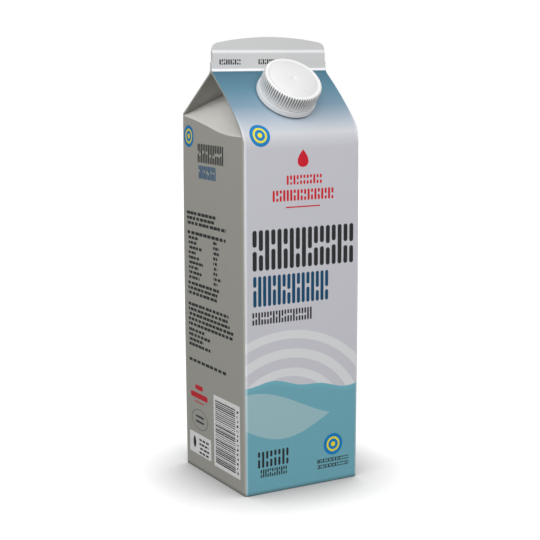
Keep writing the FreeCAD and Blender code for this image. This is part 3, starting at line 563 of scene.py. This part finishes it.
def printedBoard():
    material = bpy.data.materials.new("printedBoard")
    material.use_nodes = True
    tree = material.node_tree
    tree.nodes.clear()
    wires = Wiring(tree)
    place = wires.add("ShaderNodeTexCoord").outputs["Object"]
    grow = wires.add("ShaderNodeVectorMath", operation="SCALE")
    wires.feed(grow.inputs[0], place)
    grow.inputs["Scale"].default_value = 1 / mm
    split = wires.add("ShaderNodeSeparateXYZ")
    wires.feed(split.inputs[0], grow.outputs[0])
    x, y, z = split.outputs
    facing = wires.add("ShaderNodeSeparateXYZ")
    wires.feed(facing.inputs[0], wires.add("ShaderNodeNewGeometry").outputs["True Normal"])
    faceX, faceY, faceZ = facing.outputs

    # height along the board: straight up the panel, then round the shoulder
    lift = wires.calc("MAXIMUM", wires.calc("SUBTRACT", z, profile["shoulderFoot"]), 0.0)
    out = wires.calc("SUBTRACT", wires.calc("ABSOLUTE", y), -profile["shoulderAxis"])
    turn = wires.calc("ARCTAN2", lift, out)
    along = wires.calc("ADD", wires.calc("MINIMUM", z, profile["shoulderFoot"]),
                       wires.calc("MULTIPLY", turn, profile["shoulderRadius"]))

    # across each panel from its reader's left to right, and from the back edge for the side's round mark
    wideU = wires.calc("MULTIPLY", x, wires.calc("MULTIPLY", wires.calc("SIGN", y), -1.0))
    sideU = wires.calc("MULTIPLY", y, wires.calc("SIGN", x))
    backU = wires.calc("MULTIPLY", y, -1.0)
    strokes = strokeRowGroup()
    wide = widePrint(wires, wideU, along, lift, strokes)
    side = sidePrint(wires, sideU, backU, z, strokes, lineBlockGroup())
    folded = wires.both(wires.calc("GREATER_THAN", faceZ, 0.3), wires.calc("GREATER_THAN", z, 188.0))
    # the recess is painted lighter inwards, because the lamps alone leave it too dark
    deep = wires.fade(wires.calc("ABSOLUTE", x), 33.0, 19.0)
    recess = wires.over(ink["gusset"], ink["gussetDeep"], deep)
    side = wires.over(side, recess, folded)
    isWide = wires.calc("GREATER_THAN", wires.calc("ABSOLUTE", faceY), wires.calc("ABSOLUTE", faceX))
    colour = wires.over(side, wide, isWide)

    # bare board on the fin; painted shade on the undersides of the folds
    awayFromRidge = wires.calc("ABSOLUTE", y)
    roofPrint = wires.either(wires.fade(awayFromRidge, 2.6, 2.9),
                             wires.fade(z, profile["printTop"], profile["printTop"] - 0.3))
    roofPrint = wires.both(roofPrint, wires.fade(z, 225.5, 225.0))
    colour = wires.over(ink["board"], colour, roofPrint)
    # painted shade: the undersides of the folds darker, and lighter towards the middle where the lamps
    # already leave them dark
    under = wires.both(wires.calc("LESS_THAN", faceZ, -0.2), wires.calc("GREATER_THAN", z, 190.0))
    paintedFoldShade = wires.over(ink["fold"], ink["foldDeep"], deep)
    colour = wires.over(colour, paintedFoldShade, under)
    # painted highlight along the cove at the fin's foot, and fainter along the crease at the top of its
    # thick band
    creaseHighlight = wires.either(wires.between(z, 223.9, 225.0, 0.3),
                           wires.both(wires.between(z, 233.3, 234.7, 1.3), 0.55))
    creaseHighlight = wires.both(creaseHighlight, isWide, wires.calc("LESS_THAN", awayFromRidge, 4.5))
    colour = wires.over(colour, ink["paintedHighlight"], creaseHighlight)
    # painted highlight along the upright corners of the front and back, from the foot up into the shoulder
    corner = wires.fade(wires.calc("ABSOLUTE", x), 33.6, 34.2)
    corner = wires.both(corner, isWide, wires.fade(z, 203.0, 190.0), 0.28)
    colour = wires.over(colour, ink["paintedHighlight"], corner)

    # painted shade along the foot of the panels, just above the bottom edge
    foot = wires.both(wires.fade(z, 2.4, 0.8), wires.calc("GREATER_THAN", faceZ, -0.5), 0.45)
    colour = wires.over(colour, ink["slate"], foot)

    # date marks on the fin
    marks = wires.group(strokes, u=wideU, v=z, left=-31.0, right=-17.8, low=227.1,
                        tall=2.9, pitch=1.32, stroke=0.9, seed=3.0)
    more = wires.group(strokes, u=wideU, v=z, left=-7.4, right=2.6, low=227.1,
                       tall=2.9, pitch=1.32, stroke=0.9, seed=13.0)
    colour = wires.over(colour, ink["charcoal"], wires.both(wires.either(marks, more), isWide))

    shader = wires.add("ShaderNodeBsdfPrincipled")
    shader.inputs["Specular IOR Level"].default_value = 0.42
    wires.feed(shader.inputs["Base Color"], colour)
    cloud = wires.noise(place, 260.0, 3.0)
    wires.feed(shader.inputs["Roughness"], wires.calc("MULTIPLY_ADD", cloud, 0.10, 0.36))
    bump = wires.add("ShaderNodeBump")
    bump.inputs["Strength"].default_value = 0.25
    bump.inputs["Distance"].default_value = 0.05 * mm
    wires.feed(bump.inputs["Height"], wires.noise(place, 900.0, 4.0))
    wires.feed(shader.inputs["Normal"], bump.outputs[0])
    wires.feed(wires.add("ShaderNodeOutputMaterial").inputs["Surface"], shader.outputs[0])
    return material


def mouldedPlastic(name, colour, roughness, grooveShade=None, plateShade=None, glow=0.0):
    material = bpy.data.materials.new(name)
    material.use_nodes = True
    material.node_tree.nodes.clear()
    wires = Wiring(material.node_tree)
    place = wires.add("ShaderNodeTexCoord").outputs["Object"]
    shader = wires.add("ShaderNodeBsdfPrincipled")
    cloud = wires.noise(place, 180.0, 3.0)
    dim = [share * 0.96 for share in colour[:3]] + [1.0]
    tone = wires.over(dim, colour, cloud)
    if grooveShade:
        # painted shade: the grooves darker by the groove attribute, and the flat top a little darker than
        # the rim
        depth = wires.add("ShaderNodeAttribute", attribute_name="groove").outputs["Fac"]
        tone = wires.over(tone, plateShade, wires.fade(depth, -0.3, -0.8))
        tone = wires.over(tone, grooveShade, wires.fade(depth, 0.12, 0.75))
    wires.feed(shader.inputs["Base Color"], tone)
    shader.inputs["Subsurface Weight"].default_value = glow
    shader.inputs["Subsurface Radius"].default_value = (1, 1, 1)
    shader.inputs["Subsurface Scale"].default_value = 2 * mm
    wires.feed(shader.inputs["Roughness"], wires.calc("MULTIPLY_ADD", cloud, 0.12, roughness - 0.06))
    bump = wires.add("ShaderNodeBump")
    bump.inputs["Strength"].default_value = 0.2
    bump.inputs["Distance"].default_value = 0.03 * mm
    wires.feed(bump.inputs["Height"], wires.noise(place, 1400.0, 3.0))
    wires.feed(shader.inputs["Normal"], bump.outputs[0])
    wires.feed(wires.add("ShaderNodeOutputMaterial").inputs["Surface"], shader.outputs[0])
    return material


def openEdges(shape):
    return sum(1 for edge in shape.edges if not edge.is_manifold)


def newPiece(name, shape, material):
    mesh = bpy.data.meshes.new(name)
    shape.to_mesh(mesh)
    shape.free()
    piece = bpy.data.objects.new(name, mesh)
    bpy.context.scene.collection.objects.link(piece)
    mesh.materials.append(material)
    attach(piece, "root")
    return piece


board = {
    "softEdge": 0.35 * mm,
    "softSteps": 2,
    "foldAngle": 24.0,  # degrees, sharper than this is a fold
    "swell": 0.0095,  # how much wider the filled pack stands, all the way up
    "belly": 0.0095,  # and how much more halfway up the panels
    "bellyTop": 0.205,  # metres up, where the panels are straight again
    "bands": 11,
    "cuts": 9,  # between bands, from the foot up, so that all lie below the shoulder
    "flatAngle": 0.4,
    "sliver": 0.002 * mm,
}


def fillPack(shape):
    # cut the tall panels across, then press them out as the contents do
    for step in range(1, board["cuts"] + 1):
        bmesh.ops.bisect_plane(shape, geom=shape.verts[:] + shape.edges[:] + shape.faces[:], dist=1e-6,
                               plane_co=(0, 0, board["bellyTop"] * step / board["bands"]),
                               plane_no=(0, 0, 1))
    for point in shape.verts:
        share = min(1.0, point.co.z / board["bellyTop"])
        out = 1 + board["swell"] + board["belly"] * math.sin(math.pi * share)
        point.co.x *= out
        point.co.y *= out


def makeBoard(material):
    # the frame's own shape with every fold and cut edge softened
    shape = bmesh.new()
    shape.from_mesh(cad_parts["carton"].data)
    bmesh.ops.remove_doubles(shape, verts=shape.verts, dist=0.002 * mm)
    bmesh.ops.dissolve_limit(shape, angle_limit=math.radians(board["flatAngle"]),
                             verts=shape.verts, edges=shape.edges)
    fillPack(shape)
    folds = [edge for edge in shape.edges
             if edge.is_manifold and edge.calc_face_angle() > math.radians(board["foldAngle"])]
    foldCount = len(folds)
    bmesh.ops.bevel(shape, geom=folds, offset=board["softEdge"], offset_type="OFFSET",
                    affect="EDGES", segments=board["softSteps"], profile=0.5, material=-1,
                    clamp_overlap=True)
    bmesh.ops.triangulate(shape, faces=shape.faces)
    bmesh.ops.dissolve_degenerate(shape, dist=board["sliver"], edges=shape.edges)
    bmesh.ops.recalc_face_normals(shape, faces=shape.faces)
    for face in shape.faces:
        face.smooth = True
    print("board:", foldCount, "folds softened,", len(shape.faces), "faces,", openEdges(shape), "open edges")
    piece = newPiece("cartonBoard", shape, material)
    weigh = piece.modifiers.new("weigh", "WEIGHTED_NORMAL")
    weigh.keep_sharp = True
    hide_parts("carton")
    return piece


spout = {  # in mm, on the spout's own axis
    "roofPoint": (0.0, -17.03, 210.15),
    "lean": 42.25,
}

cap = {
    "ribs": 70,
    "steps": 6,  # points round one rib
    "radius": 16.05,
    "low": 4.3,
    "top": 13.3,
    "rimRadius": 1.3,
    "rimSteps": 6,
    "lip": 0.5,
    "edge": 0.14,
    "groove": 0.6,
    "grooveShare": 0.6,  # of a rib's pitch
    "runOut": 4.5,  # in steps of the rim
    "bore": 14.0,
    "ringRadius": 13.4,
    "ringWidth": 0.55,
    "ringDepth": 0.16,
    "plateRadius": 14.6,
    "shadeFoot": 0.7,  # above the cap's lower edge, where the painted shade in a groove starts
    "shadeRise": 1.6,  # over which the painted shade deepens
    "markRadius": 1.3,
    "markDepth": 0.42,
}


def standOnRoof(shape):
    lean = Matrix.Rotation(math.radians(spout["lean"]), 4, "X")
    place = Matrix.Translation(Vector(spout["roofPoint"]) * mm) @ lean @ Matrix.Scale(mm, 4)
    bmesh.ops.transform(shape, matrix=place, verts=shape.verts)


def ribDepth(turn):
    # 0 on a rib, 1 in the middle of a groove
    share = turn * cap["ribs"] / (2 * math.pi) % 1
    return max(0.0, 1 - abs(share - 0.5) * 2 / cap["grooveShare"])


def capLevels():
    # radius, height and how deep the grooves are, from the bore up over the rim to the middle
    radius, low, top, edge, rim = (cap[key] for key in ("radius", "low", "top", "edge", "rimRadius"))
    lip = low + cap["lip"]
    levels = [(cap["bore"], low, 0), (radius - edge, low, 0), (radius, low + edge, 0),
              (radius, lip - 0.06, 0), (radius - 0.02, lip, 0.0), (radius - 0.02, lip + 0.02, 0.92),
              (radius, lip + 0.3, 1), (radius, (lip + top) / 2, 1)]
    for step in range(cap["rimSteps"] + 1):
        turn = math.pi / 2 * step / cap["rimSteps"]
        levels.append((radius - rim + rim * math.cos(turn), top - rim + rim * math.sin(turn),
                       max(0.0, 1 - (step / cap["runOut"]) ** 2)))
    half = cap["ringWidth"] / 2
    for offset, depth in ((half, 0), (half * 0.45, 0.8), (0, 1), (-half * 0.45, 0.8), (-half, 0)):
        levels.append((cap["ringRadius"] + offset, top - cap["ringDepth"] * depth, 0))
    mark = cap["markRadius"]
    for share, depth in ((1.25, 0), (1.0, 0.12), (0.8, 0.62), (0.55, 1), (0.3, 0.55), (0.12, 0.1)):
        levels.append((mark * share, top - cap["markDepth"] * depth, 0))
    return levels


def makeCap(material):
    shape = bmesh.new()
    paintedShadeLayer = shape.verts.layers.float.new("groove")
    count = cap["ribs"] * cap["steps"]
    levels = capLevels()
    ring = bmesh.ops.create_circle(shape, segments=count, radius=1.0)["verts"]
    edges = shape.edges[:]
    bmesh.ops.contextual_create(shape, geom=edges)
    for number, (radius, height, depth) in enumerate(levels):
        if number:
            made = bmesh.ops.extrude_edge_only(shape, edges=edges)["geom"]
            ring = [item for item in made if isinstance(item, bmesh.types.BMVert)]
            edges = [item for item in made if isinstance(item, bmesh.types.BMEdge)]
        for point in ring:
            turn = math.atan2(point.co.y, point.co.x)
            sunk = depth * ribDepth(turn)
            reach = radius - cap["groove"] * sunk
            # the groove attribute carries painted shade, deeper in the grooves and rising from the foot; -1
            # marks the flat top, painted a little darker than the rim
            rise = min(1.0, max(0.0, (height - cap["low"] - cap["shadeFoot"]) / cap["shadeRise"]))
            point[paintedShadeLayer] = sunk * rise if reach > cap["plateRadius"] else -1.0
            point.co = Vector((math.cos(turn) * reach, math.sin(turn) * reach, height))
    bmesh.ops.contextual_create(shape, geom=edges)
    bmesh.ops.recalc_face_normals(shape, faces=shape.faces)
    for face in shape.faces:
        face.smooth = True
    standOnRoof(shape)
    print("cap:", len(shape.faces), "faces,", openEdges(shape), "open edges")
    piece = newPiece("screwCap", shape, material)
    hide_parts("screw_cap")
    return piece


ring = {
    "bore": 15.45,
    "footRadius": 16.65,
    "topRadius": 16.3,
    "low": 0.8,
    "top": 4.0,
    "edge": 0.35,
    "steps": 160,
}


def makeRing(material):
    shape = bmesh.new()
    outline = [(ring["bore"], ring["low"]), (ring["footRadius"], ring["low"]),
               (ring["topRadius"], ring["top"]), (ring["bore"], ring["top"])]
    points = [shape.verts.new((radius, 0, height)) for radius, height in outline]
    for index, point in enumerate(points):
        shape.edges.new((point, points[(index + 1) % len(points)]))
    bmesh.ops.bevel(shape, geom=points[1:3], offset=ring["edge"], offset_type="OFFSET", affect="VERTICES",
                    segments=4, profile=0.5, material=-1)
    bmesh.ops.spin(shape, geom=shape.verts[:] + shape.edges[:], cent=(0, 0, 0), axis=(0, 0, 1),
                   angle=2 * math.pi, steps=ring["steps"], use_merge=True, use_duplicate=False)
    bmesh.ops.remove_doubles(shape, verts=shape.verts, dist=0.001)
    bmesh.ops.recalc_face_normals(shape, faces=shape.faces)
    for face in shape.faces:
        face.smooth = True
    standOnRoof(shape)
    print("ring:", len(shape.faces), "faces,", openEdges(shape), "open edges")
    piece = newPiece("tamperRing", shape, material)
    weigh = piece.modifiers.new("weigh", "WEIGHTED_NORMAL")
    weigh.keep_sharp = True
    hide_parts("tamper_ring")
    return piece


def dressNeck(material):
    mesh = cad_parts["spout_neck"].data
    mesh.materials.clear()
    mesh.materials.append(material)


placeCamera()
placeLights()
placeFloor()
print("stage set")
makeBoard(printedBoard())
print("board folded and printed")
makeCap(mouldedPlastic("capPlastic", paint(235, 235, 235), 0.38, grooveShade=paint(80, 80, 80),
                       plateShade=paint(222, 222, 222)))
makeRing(mouldedPlastic("ringPlastic", paint(240, 240, 241), 0.32, glow=0.4))
dressNeck(mouldedPlastic("neckPlastic", paint(232, 234, 236), 0.42))
print("spout, ring and cap made")

bpy.context.scene.view_settings.view_transform = "Standard"
